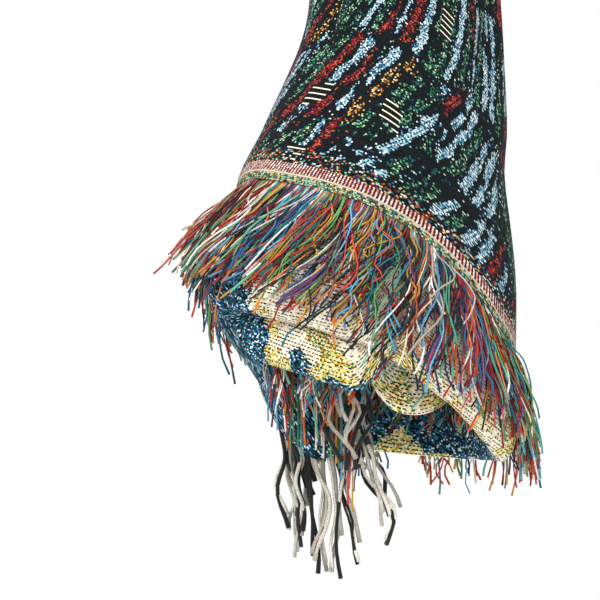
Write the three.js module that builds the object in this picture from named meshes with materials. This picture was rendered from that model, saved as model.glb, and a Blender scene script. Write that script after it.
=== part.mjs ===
// A woven throw blanket, folded in half, rolled loosely into a gathered bundle and hung by its top fold.
// Millimetres, +Z up. The origin is the middle of the gathered top edge. The front faces -Y.
// An angle of 0 degrees is the front of the bundle and 90 degrees is its right side.
import * as THREE from "three";

// Driving sizes
const CLOTH_THICKNESS = 2;
const PLY_GAP = 7; // between the two plies of the folded throw
const START_ANGLE = -115; // where the roll's outer edge lies
const CELL_ANGLE = 12; // the solid has one column of faces for each such step round the roll
const CELLS = 66;
const OUTER_TURN_CELLS = 24; // with two locks of fringe to a cell on the outer hem
const FRONT_CELLS = 10; // the same on the inner hem
const PLEATS = 6; // round one turn at the gathered top
const FRONT_TO_BACK = 0.85; // the bundle is a little flatter than it is wide
const STRIP_GAP = 0.8; // from the cloth's edge to the strip that its fringe grows from
const STRIP_WIDTH = 3;
const LOCK_THICKNESS = 1.2;
const LOCK_TIP = 0.45; // tip width as a share of the root's
const SIDE_LOCK_WIDTH = 4;

// The bundle by depth below its top edge: outer radius, step inwards for each turn, depth of
// the pleats as a share of the radius, and the place of its middle
const BUNDLE = [
  { depth: 0, radius: 61, step: 14, pleat: 0.22, middle: 0 },
  { depth: 80, radius: 58, step: 14, pleat: 0.21, middle: 0 },
  { depth: 180, radius: 57, step: 15, pleat: 0.17, middle: 4 },
  { depth: 255, radius: 56, step: 16, pleat: 0.07, middle: 8 },
  { depth: 308, radius: 60, step: 18, pleat: 0.02, middle: 8.6 },
  { depth: 374, radius: 76, step: 22, pleat: 0.01, middle: -1 },
  { depth: 407, radius: 84, step: 25, pleat: 0.008, middle: -8.6 },
  { depth: 475, radius: 92, step: 27, pleat: 0.008, middle: -9 },
  { depth: 595, radius: 92, step: 27, pleat: 0.008, middle: -10 },
];

// Depth of the outer ply's hem round the roll
const OUTER_HEM = [
  { angle: -115, depth: 423 },
  { angle: -95, depth: 412 },
  { angle: -64, depth: 405 },
  { angle: -34, depth: 410 },
  { angle: -12, depth: 418 },
  { angle: 8, depth: 432 },
  { angle: 26, depth: 451 },
  { angle: 42, depth: 472 },
  { angle: 58, depth: 492 },
  { angle: 85, depth: 511 },
  { angle: 120, depth: 521 },
  { angle: 180, depth: 515 },
  { angle: 230, depth: 465 },
  { angle: 260, depth: 435 },
  { angle: 310, depth: 433 },
  { angle: 370, depth: 465 },
  { angle: 450, depth: 479 },
  { angle: 540, depth: 471 },
  { angle: 600, depth: 447 },
  { angle: 640, depth: 445 },
  { angle: 677, depth: 463 },
];

// The inner ply below the level of the outer hem, round the roll. Each row is one section, as
// drops below that hem and set-ins from the outer ply, from the hem's level to the inner hem
const LOWER_FOLDS = [
  {
    name: "free_side_edge",
    angle: -115,
    drop: [0, 22, 44, 66, 83, 99, 116, 127, 139, 141, 132, 110],
    set: [7, 3, -1, -5, 12, 19, 26, 33, 48, 58, 70, 77],
  },
  {
    name: "hanging_flap",
    angle: -95,
    drop: [0, 24, 46, 64, 80, 93, 104, 112, 117, 117, 112, 100],
    set: [7, 2, -4, -5, 3, 12, 20, 29, 40, 50, 60, 66],
  },
  {
    name: "turn_of_flap",
    angle: -78,
    drop: [0, 25, 50, 66, 75, 80, 84, 90, 97, 101, 100, 92],
    set: [7, 0, -7, -9, -3, 4, 9, 13, 18, 24, 31, 37],
  },
  {
    name: "double_roll",
    angle: -60,
    drop: [0, 27, 54, 68, 74, 72, 69, 78, 93, 101, 96, 80],
    set: [7, -1, -10, -10, -4, 4, 9, 3, 1, 5, 11, 15],
  },
  {
    name: "double_roll_front",
    angle: -14,
    drop: [0, 26, 55, 69, 76, 74, 71, 81, 98, 105, 99, 81],
    set: [7, -1, -9, -9, -3, 4, 9, 4, 2, 6, 12, 15],
  },
  {
    name: "single_roll",
    angle: 14,
    drop: [0, 26, 55, 69, 76, 77, 72, 66, 60, 54, 48, 41],
    set: [7, 0, -7, -7, -1, 5, 10, 12, 13, 14, 15, 15],
  },
  {
    name: "single_roll_right",
    angle: 62,
    drop: [0, 22, 43, 55, 61, 62, 58, 51, 44, 37, 30, 23],
    set: [7, 2, -2, -2, 2, 7, 12, 14, 15, 15, 15, 15],
  },
  {
    name: "back",
    angle: 120,
    drop: [0, 12, 24, 34, 41, 44, 41, 34, 27, 20, 13, 6],
    set: [7, 6, 6, 6, 8, 12, 15, 16, 16, 16, 16, 16],
  },
  {
    name: "back_left",
    angle: 230,
    drop: [0, 14, 27, 38, 45, 48, 45, 38, 31, 24, 17, 10],
    set: [7, 6, 6, 6, 8, 11, 14, 15, 15, 15, 15, 15],
  },
  {
    name: "second_turn_left",
    angle: 282,
    drop: [-44, -31, -18, -6, 3, 8, 4, -6, -17, -29, -41, -52],
    set: [7, 7, 7, 7, 8, 11, 14, 15, 15, 15, 15, 15],
  },
  {
    name: "second_turn_front",
    angle: 372,
    drop: [0, 14, 30, 46, 60, 68, 69, 63, 54, 44, 34, 24],
    set: [7, 6, 5, 5, 5, 7, 11, 14, 15, 15, 15, 15],
  },
  {
    name: "second_turn_right",
    angle: 450,
    drop: [0, 11, 22, 32, 40, 44, 42, 36, 28, 20, 12, 4],
    set: [7, 7, 7, 7, 8, 11, 14, 15, 15, 15, 15, 15],
  },
  {
    name: "second_turn_back",
    angle: 560,
    drop: [0, 9, 18, 26, 32, 35, 33, 27, 20, 13, 6, -1],
    set: [7, 7, 7, 7, 8, 11, 14, 15, 15, 15, 15, 15],
  },
  {
    name: "inner_end",
    angle: 677,
    drop: [0, 13, 26, 38, 48, 54, 52, 45, 36, 27, 18, 9],
    set: [7, 7, 6, 6, 6, 8, 11, 12, 12, 12, 12, 12],
  },
];

// Levels of the solid's rows, as shares of the way from the top edge down to the outer hem
const OUTER_ROWS = [1, 0.974, 0.9, 0.83, 0.76, 0.67, 0.48, 0.22];
const INNER_ROWS = [0.22, 0.48, 0.67, 0.78, 0.89];
const TOP_FOLD_STEPS = 3;

// Reach of the outer hem's fringe round the roll: outwards, down, and sideways to the left
const OUTER_FRINGE = [
  { angle: -115, out: 26, drop: 40, lean: 4 },
  { angle: -92, out: 34, drop: 30, lean: 12 },
  { angle: -72, out: 27, drop: 42, lean: 24 },
  { angle: -56, out: 21, drop: 44, lean: 34 },
  { angle: -34, out: 17, drop: 48, lean: 35 },
  { angle: -12, out: 17, drop: 54, lean: 28 },
  { angle: 8, out: 17, drop: 60, lean: 20 },
  { angle: 26, out: 16, drop: 64, lean: 10 },
  { angle: 42, out: 14, drop: 64, lean: 3 },
  { angle: 60, out: 12, drop: 60, lean: 0 },
  { angle: 120, out: 5, drop: 56, lean: 0 },
  { angle: 240, out: 2, drop: 55, lean: 0 },
  { angle: 600, out: 0, drop: 50, lean: 0 },
  { angle: 677, out: 0, drop: 46, lean: 0 },
];

// Reach of the inner hem's fringe round the roll. "over" is how far it first stands up from
// the tucked hem before it falls, and "in" and "forward" are where it falls
const INNER_FRINGE = [
  { angle: -115, over: 3, in: -1.5, forward: 5, drop: 44 },
  { angle: -95, over: 3, in: -1, forward: 7, drop: 46 },
  { angle: -78, over: 3, in: 3, forward: 4, drop: 46 },
  { angle: -60, over: 3, in: 5, forward: 0, drop: 46 },
  { angle: 240, over: 3, in: 6.2, forward: 0, drop: 46 },
  { angle: 677, over: 3, in: 6, forward: 0, drop: 46 },
];

// Reach of the side fringes by depth: sideways along the roll and down
const SIDE_FRINGE = [
  { depth: 0, outer: 20, inner: 7, lean: 0, drop: 58, pitch: 52 },
  { depth: 415, outer: 20, inner: 9, lean: 0, drop: 58, pitch: 48 },
  { depth: 485, outer: 5, inner: 5, lean: 22, drop: 60, pitch: 26 },
  { depth: 525, outer: 2, inner: 3, lean: 20, drop: 62, pitch: 18 },
  { depth: 555, outer: 1, inner: 2, lean: 4, drop: 64, pitch: 7 },
];

const COLOURS = { cloth: 0x2b3436, hemFringe: 0xa8563f, sideFringe: 0x8f8d84 };

// A named column of a table, read smoothly between its rows
function read(rows, key, column, at) {
  const last = rows.length - 1;
  if (at <= rows[0][key]) return rows[0][column];
  if (at >= rows[last][key]) return rows[last][column];
  const i = rows.findIndex((row) => row[key] > at) - 1;
  const slope = (a, b) => (rows[b][column] - rows[a][column]) / (rows[b][key] - rows[a][key]);
  const bend = (j) => {
    if (j === 0 || j === last) return 0;
    const before = slope(j - 1, j);
    const after = slope(j, j + 1);
    return before * after > 0 ? (2 * before * after) / (before + after) : 0;
  };
  const span = rows[i + 1][key] - rows[i][key];
  const f = (at - rows[i][key]) / span;
  const start = rows[i][column] * (1 + 2 * f) * (1 - f) ** 2 + bend(i) * span * f * (1 - f) ** 2;
  const end = rows[i + 1][column] * f * f * (3 - 2 * f) - bend(i + 1) * span * f * f * (1 - f);
  return start + end;
}

// A point of the rolled cloth, at an angle along the roll, a depth and a set-in from the outer ply
function onRoll(angle, depth, set) {
  const around = THREE.MathUtils.degToRad(angle);
  const turn = (angle - START_ANGLE) / 360;
  const pleat = read(BUNDLE, "depth", "pleat", depth);
  const crest = 1 + pleat * Math.cos(PLEATS * around + 0.7 * Math.sin(2 * around + 1));
  const radius = read(BUNDLE, "depth", "radius", depth) - read(BUNDLE, "depth", "step", depth) * turn;
  const reach = (radius - set) * crest;
  const middle = read(BUNDLE, "depth", "middle", depth);
  return new THREE.Vector3(
    middle + reach * Math.sin(around),
    -FRONT_TO_BACK * reach * Math.cos(around),
    -depth,
  );
}

// Drop and set-in of one station of the lower folds, between the two nearest sections
function lowerFold(angle, station) {
  const rows = LOWER_FOLDS.map((row) => ({
    angle: row.angle,
    drop: row.drop[station],
    set: row.set[station],
  }));
  return {
    drop: read(rows, "angle", "drop", angle),
    set: read(rows, "angle", "set", angle),
  };
}

// One column of the cloth's middle surface, from the outer hem over the top to the inner hem
function column(angle) {
  const hem = read(OUTER_HEM, "angle", "depth", angle);
  const bend = PLY_GAP / 2;
  const crown = CLOTH_THICKNESS / 2 + bend;
  const points = OUTER_ROWS.map((share) => onRoll(angle, share * hem, 0));
  for (let i = 0; i <= TOP_FOLD_STEPS; i++) {
    const turn = (Math.PI * i) / TOP_FOLD_STEPS;
    points.push(onRoll(angle, crown - bend * Math.sin(turn), bend * (1 - Math.cos(turn))));
  }
  INNER_ROWS.forEach((share) => {
    const end = lowerFold(angle, 0);
    points.push(onRoll(angle, share * (hem + Math.min(end.drop, 0)), PLY_GAP));
  });
  LOWER_FOLDS[0].drop.forEach((_, station) => {
    const fold = lowerFold(angle, station);
    points.push(onRoll(angle, hem + fold.drop, fold.set));
  });
  return points;
}

// The sheet's middle points and the normals of its face, column by column
const sheet = Array.from({ length: CELLS + 1 }, (_, i) => column(START_ANGLE + i * CELL_ANGLE));
const normals = sheet.map((points, i) =>
  points.map((_, j) => {
    const left = sheet[Math.max(i - 1, 0)][j];
    const right = sheet[Math.min(i + 1, CELLS)][j];
    const below = points[Math.max(j - 1, 0)];
    const above = points[Math.min(j + 1, points.length - 1)];
    const across = right.clone().sub(left).normalize();
    const along = above.clone().sub(below).normalize();
    return across.cross(along).normalize();
  }),
);
const ROWS = sheet[0].length;

// A closed mesh from corner points and polygons, with its faces turned outwards
function closedMesh(name, points, faces, colour) {
  const index = [];
  faces.forEach((face) => {
    for (let i = 1; i < face.length - 1; i++) index.push(face[0], face[i], face[i + 1]);
  });
  let volume = 0;
  const side = new THREE.Vector3();
  for (let i = 0; i < index.length; i += 3) {
    side.crossVectors(points[index[i + 1]], points[index[i + 2]]);
    volume += points[index[i]].dot(side);
  }
  if (volume < 0) index.reverse();
  const geometry = new THREE.BufferGeometry().setFromPoints(points);
  geometry.setIndex(index);
  geometry.computeVertexNormals();
  const material = new THREE.MeshStandardMaterial({ color: colour, roughness: 0.95, metalness: 0 });
  const mesh = new THREE.Mesh(geometry, material);
  mesh.name = name;
  return mesh;
}

// The cloth: two skins half a thickness either side of the middle surface, closed round the edge
function cloth() {
  const points = [];
  [1, -1].forEach((side) => {
    sheet.forEach((rows, i) =>
      rows.forEach((point, j) =>
        points.push(point.clone().addScaledVector(normals[i][j], (side * CLOTH_THICKNESS) / 2)),
      ),
    );
  });
  const front = (i, j) => i * ROWS + j;
  const back = (i, j) => (CELLS + 1 + i) * ROWS + j;
  const faces = [];
  for (let i = 0; i < CELLS; i++) {
    for (let j = 0; j < ROWS - 1; j++) {
      faces.push([front(i, j), front(i + 1, j), front(i + 1, j + 1), front(i, j + 1)]);
      faces.push([back(i, j), back(i, j + 1), back(i + 1, j + 1), back(i + 1, j)]);
    }
    faces.push([front(i, 0), back(i, 0), back(i + 1, 0), front(i + 1, 0)]);
    const top = ROWS - 1;
    faces.push([front(i, top), front(i + 1, top), back(i + 1, top), back(i, top)]);
  }
  for (let j = 0; j < ROWS - 1; j++) {
    faces.push([front(0, j), front(0, j + 1), back(0, j + 1), back(0, j)]);
    faces.push([front(CELLS, j), back(CELLS, j), back(CELLS, j + 1), front(CELLS, j + 1)]);
  }
  return closedMesh("cloth", points, faces, COLOURS.cloth);
}

// A fringe: a narrow strip beside the cloth's edge and a lock grown from each stretch that has one.
// Each stop holds the edge point, the way out of the cloth, the face normal, and for the stretch
// after it the points of its lock, or none
function fringe(name, stops, colour) {
  const points = [];
  const faces = [];
  const half = CLOTH_THICKNESS / 2;
  stops.forEach((stop) => {
    [STRIP_GAP, STRIP_GAP + STRIP_WIDTH].forEach((far) =>
      [half, -half].forEach((off) =>
        points.push(
          stop.edge.clone().addScaledVector(stop.out, far).addScaledVector(stop.normal, off),
        ),
      ),
    );
  });
  stops.slice(0, -1).forEach((stop, i) => {
    const [inFront, inBack, outFront, outBack] = [0, 1, 2, 3].map((corner) => i * 4 + corner);
    faces.push([inFront, inFront + 4, inBack + 4, inBack]);
    faces.push([inFront, outFront, outFront + 4, inFront + 4]);
    faces.push([inBack, inBack + 4, outBack + 4, outBack]);
    let ring = [outFront, outBack, outBack + 4, outFront + 4];
    if (stop.lock) {
      const across = stops[i + 1].edge.clone().sub(stop.edge);
      const width = across.length();
      across.normalize();
      const middle = stop.edge.clone().lerp(stops[i + 1].edge, 0.5);
      middle.addScaledVector(stop.out, STRIP_GAP + STRIP_WIDTH);
      const route = [middle, ...stop.lock];
      const sense = across.clone().cross(stop.out).dot(stop.normal) < 0 ? -1 : 1;
      stop.lock.forEach((point, m) => {
        const into = point.clone().sub(route[m]).normalize();
        const on = m + 2 < route.length ? route[m + 2].clone().sub(point).normalize() : into;
        const way = into.clone().add(on).normalize();
        const side = across.clone().addScaledVector(way, -across.dot(way)).normalize();
        const thick = side.clone().cross(way);
        thick.multiplyScalar(sense);
        const share = 1 - ((1 - LOCK_TIP) * (m + 1)) / stop.lock.length;
        const w = (width * share) / 2;
        const t = (LOCK_THICKNESS * (0.6 + 0.4 * share)) / 2;
        const next = [
          [-w, t],
          [-w, -t],
          [w, -t],
          [w, t],
        ].map(([a, b]) => {
          points.push(point.clone().addScaledVector(side, a).addScaledVector(thick, b));
          return points.length - 1;
        });
        ring.forEach((corner, c) => {
          faces.push([corner, ring[(c + 1) % 4], next[(c + 1) % 4], next[c]]);
        });
        ring = next;
      });
    }
    faces.push(ring);
  });
  faces.push([0, 1, 3, 2]);
  const end = (stops.length - 1) * 4;
  faces.push([end, end + 2, end + 3, end + 1]);
  return closedMesh(name, points, faces, colour);
}

// A stop on a hem, part of the way across one cell of the sheet, on row j
function hemStop(cell, share, j, inward) {
  const a = sheet[cell][j].clone();
  const b = sheet[cell + 1][j];
  const wayA = a.clone().sub(sheet[cell][inward]).normalize();
  const wayB = b.clone().sub(sheet[cell + 1][inward]).normalize();
  return {
    angle: START_ANGLE + (cell + share) * CELL_ANGLE,
    edge: a.lerp(b, share),
    out: wayA.lerp(wayB, share).normalize(),
    normal: normals[cell][j].clone().lerp(normals[cell + 1][j], share).normalize(),
  };
}

// How far a point of the roll moves when its drop and set-in change
function shift(angle, depth, set, drop, more) {
  return onRoll(angle, depth + drop, set + more).sub(onRoll(angle, depth, set));
}

function hemFringe(name, j, inward, doubleCells, lockOf) {
  const stops = [];
  for (let cell = 0; cell < CELLS; cell++) {
    const marks = cell < doubleCells ? [0, 0.42, 0.5, 0.92] : [0, 0.6];
    marks.forEach((mark, k) => {
      const stop = hemStop(cell, mark, j, inward);
      if (k % 2 === 0) {
        const middle = hemStop(cell, (mark + marks[k + 1]) / 2, j, inward);
        stop.lock = lockOf(middle);
      }
      stops.push(stop);
    });
  }
  stops.push(hemStop(CELLS - 1, 1, j, inward));
  return fringe(name, stops, COLOURS.hemFringe);
}

// The outer hem's fringe leans out over the rolls below it and flares at the left
function outerHemFringe() {
  return hemFringe("outer_hem_fringe", 0, 1, OUTER_TURN_CELLS, (stop) => {
    const out = read(OUTER_FRINGE, "angle", "out", stop.angle);
    const drop = read(OUTER_FRINGE, "angle", "drop", stop.angle);
    const lean = read(OUTER_FRINGE, "angle", "lean", stop.angle);
    const hem = -stop.edge.z;
    const root = stop.edge.clone().addScaledVector(stop.out, STRIP_GAP + STRIP_WIDTH);
    root.sub(onRoll(stop.angle, hem, 0));
    const radius = read(BUNDLE, "depth", "radius", hem);
    return [1 / 3, 2 / 3, 1].map((f) => {
      const swing = THREE.MathUtils.radToDeg((-lean * f * (0.7 + 0.3 * f)) / radius);
      return onRoll(stop.angle + swing, hem + drop * f, (-out * (f + f * f)) / 2).add(root);
    });
  });
}

// The inner hem's fringe stands up a little from the tucked hem, then falls inside the roll
function innerHemFringe() {
  return hemFringe("inner_hem_fringe", ROWS - 1, ROWS - 2, FRONT_CELLS, (stop) => {
    const reach = {};
    ["over", "in", "forward", "drop"].forEach((part) => {
      reach[part] = read(INNER_FRINGE, "angle", part, stop.angle);
    });
    const depth = -stop.edge.z;
    const root = stop.edge.clone().addScaledVector(stop.out, STRIP_GAP + STRIP_WIDTH);
    const fall = (f) => {
      const away = Math.min(1, 2 * f + 0.3);
      const point = root.clone().add(shift(stop.angle, depth, 20, reach.drop * f, reach.in * away));
      point.y -= reach.forward * away;
      return point;
    };
    const crest = root.clone().addScaledVector(stop.out, reach.over / 2);
    crest.add(shift(stop.angle, depth, 20, 0, reach.in * 0.55));
    crest.y -= reach.forward * 0.55;
    return [crest, fall(0.22), fall(1)];
  });
}

// A side edge's fringe lies along the roll past the edge and slants down, and hangs free at the tail
function sideFringe(name, i, inward, sense, reach) {
  const stops = [];
  const edge = sheet[i];
  for (let j = 0; j < ROWS - 1; j++) {
    const length = edge[j].distanceTo(edge[j + 1]);
    const level = -(edge[j].z + edge[j + 1].z) / 2;
    const count = Math.round(length / read(SIDE_FRINGE, "depth", "pitch", level));
    const stopAt = (share) => ({
      edge: edge[j].clone().lerp(edge[j + 1], share),
      out: edge[j]
        .clone()
        .sub(sheet[inward][j])
        .lerp(edge[j + 1].clone().sub(sheet[inward][j + 1]), share)
        .normalize(),
      normal: normals[i][j].clone().lerp(normals[i][j + 1], share).normalize(),
    });
    stops.push(stopAt(0));
    for (let k = 0; k < count; k++) {
      const centre = (k + 0.5) / count;
      const spread = SIDE_LOCK_WIDTH / 2 / length;
      const root = stopAt(centre);
      const from = stopAt(centre - spread);
      const depth = Math.max(-root.edge.z, 4);
      const side = read(SIDE_FRINGE, "depth", reach, depth);
      const drop = read(SIDE_FRINGE, "depth", "drop", depth);
      const middle = read(BUNDLE, "depth", "middle", depth);
      const radius = Math.hypot(root.edge.x - middle, root.edge.y / FRONT_TO_BACK);
      const angle = START_ANGLE + (i === 0 ? 0 : CELLS * CELL_ANGLE);
      const plain = read(BUNDLE, "depth", "radius", depth);
      const set = plain - (read(BUNDLE, "depth", "step", depth) * (angle - START_ANGLE)) / 360 - radius;
      const start = root.edge.clone().addScaledVector(root.out, STRIP_GAP + STRIP_WIDTH);
      from.lock = [1 / 3, 2 / 3, 1].map((f) => {
        const swing = (sense * 180 * side * f) / (Math.PI * Math.max(radius, 18));
        const move = onRoll(angle + swing, depth + drop * f * (0.6 + 0.4 * f), set);
        const point = start.clone().add(move.sub(onRoll(angle, depth, set)));
        point.x += sense < 0 ? read(SIDE_FRINGE, "depth", "lean", depth) * f : 0;
        return point;
      });
      stops.push(from, stopAt(centre + spread));
    }
  }
  const last = ROWS - 1;
  stops.push({
    edge: edge[last].clone(),
    out: edge[last].clone().sub(sheet[inward][last]).normalize(),
    normal: normals[i][last].clone(),
  });
  return fringe(name, stops, COLOURS.sideFringe);
}

const throwBlanket = new THREE.Group();
throwBlanket.name = "woven_throw";
throwBlanket.add(cloth());
throwBlanket.add(outerHemFringe());
throwBlanket.add(innerHemFringe());
throwBlanket.add(sideFringe("outer_side_fringe", 0, 1, -1, "outer"));
throwBlanket.add(sideFringe("inner_side_fringe", CELLS, CELLS - 1, 1, "inner"));

export default throwBlanket;
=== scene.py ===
import bmesh
import bpy
import numpy as np
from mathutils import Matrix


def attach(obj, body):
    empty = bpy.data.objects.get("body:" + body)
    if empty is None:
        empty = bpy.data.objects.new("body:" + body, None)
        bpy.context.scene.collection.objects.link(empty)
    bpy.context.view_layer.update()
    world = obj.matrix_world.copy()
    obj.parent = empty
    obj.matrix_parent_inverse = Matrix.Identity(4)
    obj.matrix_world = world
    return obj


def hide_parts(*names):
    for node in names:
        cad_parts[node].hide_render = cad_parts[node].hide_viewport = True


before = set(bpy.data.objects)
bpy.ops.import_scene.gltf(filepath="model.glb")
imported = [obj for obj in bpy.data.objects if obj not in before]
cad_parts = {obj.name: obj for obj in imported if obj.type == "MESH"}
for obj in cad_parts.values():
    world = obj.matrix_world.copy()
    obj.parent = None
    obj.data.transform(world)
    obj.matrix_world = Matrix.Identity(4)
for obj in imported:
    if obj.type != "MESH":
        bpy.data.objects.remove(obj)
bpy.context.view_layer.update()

MM = 0.001


# The cloth: one cotton tapestry, dark on its face and pale on its reverse, woven with its border
# and its two headings in one piece. It is folded in half, so the face shows on the roll, and the
# longer inner ply shows its reverse where it bulges below the outer hem.
def table(columns, *rows):
    """Rows of numbers under named columns."""
    return dict(zip(columns.split(), np.array(rows, float).T))


# Sizes in millimetres and angles in degrees, then how finely the sheet is divided
THROW_WIDTH = 760
THROW_LENGTH = 1020
CLOTH_THICKNESS = 1.6
PLY_GAP = 7
START_ANGLE = -115
OUTER_END = 245
END_ANGLE = 677
PLEATS = 6
FRONT_TO_BACK = 0.85
OUTER_COLUMNS = 205
INNER_COLUMNS = 95
OUTER_ROWS = 52
TOP_FOLD_ROWS = 7
INNER_ROWS = 15
FOLD_STEPS = 6
STATION_LENGTH = 19
MM_PER_DEGREE = 1.56

# The bundle by depth below its top edge: outer radius, step inwards for each turn, depth of the
# pleats as a share of the radius, and the place of its middle
BUNDLE = table(
    "depth radius step pleat middle",
    (0, 61, 14, 0.22, 0),
    (80, 58, 14, 0.21, 0),
    (180, 57, 15, 0.17, 4),
    (255, 56, 16, 0.07, 8),
    (308, 60, 18, 0.02, 8.6),
    (374, 76, 22, 0.01, -1),
    (407, 84, 25, 0.008, -8.6),
    (475, 92, 27, 0.008, -9),
    (595, 92, 27, 0.008, -10),
)

# Depth of the outer ply's hem round the roll
OUTER_HEM = table(
    "angle depth",
    (-115, 423),
    (-95, 412),
    (-64, 405),
    (-34, 410),
    (-12, 418),
    (8, 432),
    (26, 451),
    (42, 472),
    (58, 492),
    (85, 511),
    (120, 521),
    (180, 515),
    (230, 465),
    (260, 435),
    (310, 433),
    (370, 465),
    (450, 479),
    (540, 471),
    (600, 447),
    (640, 445),
    (677, 463),
)

# The inner ply below the level of the outer hem, round the roll. Each row is one section, as
# drops below that hem and set-ins from the outer ply, from the hem's level to the inner hem
LOWER_FOLDS = [
    {
        "name": "free_side_edge",
        "angle": -115,
        "drop": [0, 22, 44, 66, 83, 99, 116, 127, 139, 141, 132, 110],
        "set": [7, 3, -1, -5, 12, 19, 26, 33, 48, 58, 70, 77],
    },
    {
        "name": "hanging_flap",
        "angle": -95,
        "drop": [0, 24, 46, 64, 80, 93, 104, 112, 117, 117, 112, 100],
        "set": [7, 2, -4, -5, 3, 12, 20, 29, 40, 50, 60, 66],
    },
    {
        "name": "turn_of_flap",
        "angle": -78,
        "drop": [0, 25, 50, 66, 75, 80, 84, 90, 97, 101, 100, 92],
        "set": [7, 0, -7, -9, -3, 4, 9, 13, 18, 24, 31, 37],
    },
    {
        "name": "double_roll",
        "angle": -60,
        "drop": [0, 27, 54, 68, 74, 72, 69, 78, 93, 101, 96, 80],
        "set": [7, -1, -10, -10, -4, 4, 9, 3, 1, 5, 11, 15],
    },
    {
        "name": "double_roll_front",
        "angle": -14,
        "drop": [0, 26, 55, 69, 76, 74, 71, 81, 98, 105, 99, 81],
        "set": [7, -1, -9, -9, -3, 4, 9, 4, 2, 6, 12, 15],
    },
    {
        "name": "single_roll",
        "angle": 14,
        "drop": [0, 26, 55, 69, 76, 77, 72, 66, 60, 54, 48, 41],
        "set": [7, 0, -7, -7, -1, 5, 10, 12, 13, 14, 15, 15],
    },
    {
        "name": "single_roll_right",
        "angle": 62,
        "drop": [0, 22, 43, 55, 61, 62, 58, 51, 44, 37, 30, 23],
        "set": [7, 2, -2, -2, 2, 7, 12, 14, 15, 15, 15, 15],
    },
    {
        "name": "back",
        "angle": 120,
        "drop": [0, 12, 24, 34, 41, 44, 41, 34, 27, 20, 13, 6],
        "set": [7, 6, 6, 6, 8, 12, 15, 16, 16, 16, 16, 16],
    },
    {
        "name": "back_left",
        "angle": 230,
        "drop": [0, 14, 27, 38, 45, 48, 45, 38, 31, 24, 17, 10],
        "set": [7, 6, 6, 6, 8, 11, 14, 15, 15, 15, 15, 15],
    },
    {
        "name": "second_turn_left",
        "angle": 282,
        "drop": [-44, -31, -18, -6, 3, 8, 4, -6, -17, -29, -41, -52],
        "set": [7, 7, 7, 7, 8, 11, 14, 15, 15, 15, 15, 15],
    },
    {
        "name": "second_turn_front",
        "angle": 372,
        "drop": [0, 14, 30, 46, 60, 68, 69, 63, 54, 44, 34, 24],
        "set": [7, 6, 5, 5, 5, 7, 11, 14, 15, 15, 15, 15],
    },
    {
        "name": "second_turn_right",
        "angle": 450,
        "drop": [0, 11, 22, 32, 40, 44, 42, 36, 28, 20, 12, 4],
        "set": [7, 7, 7, 7, 8, 11, 14, 15, 15, 15, 15, 15],
    },
    {
        "name": "second_turn_back",
        "angle": 560,
        "drop": [0, 9, 18, 26, 32, 35, 33, 27, 20, 13, 6, -1],
        "set": [7, 7, 7, 7, 8, 11, 14, 15, 15, 15, 15, 15],
    },
    {
        "name": "inner_end",
        "angle": 677,
        "drop": [0, 13, 26, 38, 48, 54, 52, 45, 36, 27, 18, 9],
        "set": [7, 7, 6, 6, 6, 8, 11, 12, 12, 12, 12, 12],
    },
]

# Soft creases of the roll's face, at places along the roll and down it: their slant from the
# vertical, their half width and half length, and their height, which is less than 0 in a trough
FACE_CREASES = table(
    "along down slant width length height",
    (-78, 330, 14, 9, 90, -2.2),
    (-52, 300, 20, 12, 110, 1.8),
    (-20, 250, 28, 10, 80, -1.6),
    (22, 300, 30, 14, 100, 1.6),
    (60, 360, 24, 10, 70, -1.8),
    (100, 330, 10, 14, 120, 1.6),
    (-105, 250, 4, 8, 120, 1.6),
    (160, 380, -8, 13, 90, -2.2),
    (215, 300, -14, 15, 120, 2),
    (262, 350, 6, 12, 90, -2.2),
    (310, 300, 10, 14, 110, 1.8),
    (-88, 396, 8, 6, 22, 2.4),
    (-40, 398, 14, 7, 20, -1.6),
    (-8, 404, 20, 8, 18, 1.4),
)

# The same for the inner ply's rolls, whose places go by the stations down each section
ROLL_CREASES = table(
    "along down slant width length height",
    (-118, 30, 8, 5, 26, 3.2),
    (-106, 62, -6, 4, 30, -4.2),
    (-132, 80, 12, 5, 34, -3.6),
    (-92, 44, 30, 5, 18, -2.6),
    (-84, 60, 24, 6, 20, 2.4),
    (-58, 52, 62, 4, 30, 1.6),
    (-30, 64, 70, 4, 34, -1.4),
    (6, 50, 66, 5, 30, 1.4),
    (-20, 140, 58, 5, 30, 1.6),
    (-64, 132, 40, 5, 24, -1.8),
    (52, 56, 50, 6, 30, -1.4),
    (96, 60, 40, 7, 30, 1.6),
    (-150, 60, 8, 5, 30, 3.4),
    (-162, 100, -4, 5, 34, -3.6),
    (-125, 120, 20, 5, 26, 3),
    (-75, 100, 50, 4, 30, -2.4),
    (-40, 40, 66, 4, 30, 1.8),
    (20, 100, 62, 5, 30, -2.2),
    (60, 90, 55, 5, 30, 2),
)


def smooth(x, y, at):
    """Values y at places x, read smoothly between them with no overshoot."""
    slope = np.diff(y) / np.diff(x)
    before, after = slope[:-1], slope[1:]
    even = np.where(before * after > 0, before + after, 1)
    bend = np.zeros(len(x))
    bend[1:-1] = np.where(before * after > 0, 2 * before * after / even, 0)
    at = np.clip(at, x[0], x[-1])
    i = np.clip(np.searchsorted(x, at, side="right") - 1, 0, len(x) - 2)
    span = x[i + 1] - x[i]
    f = (at - x[i]) / span
    start = y[i] * (1 + 2 * f) * (1 - f) ** 2 + bend[i] * span * f * (1 - f) ** 2
    end = y[i + 1] * f * f * (3 - 2 * f) - bend[i + 1] * span * f * f * (1 - f)
    return start + end


def read(rows, key, column, at):
    """A named column of a table, read smoothly between its rows."""
    return smooth(rows[key], rows[column], at)


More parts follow.
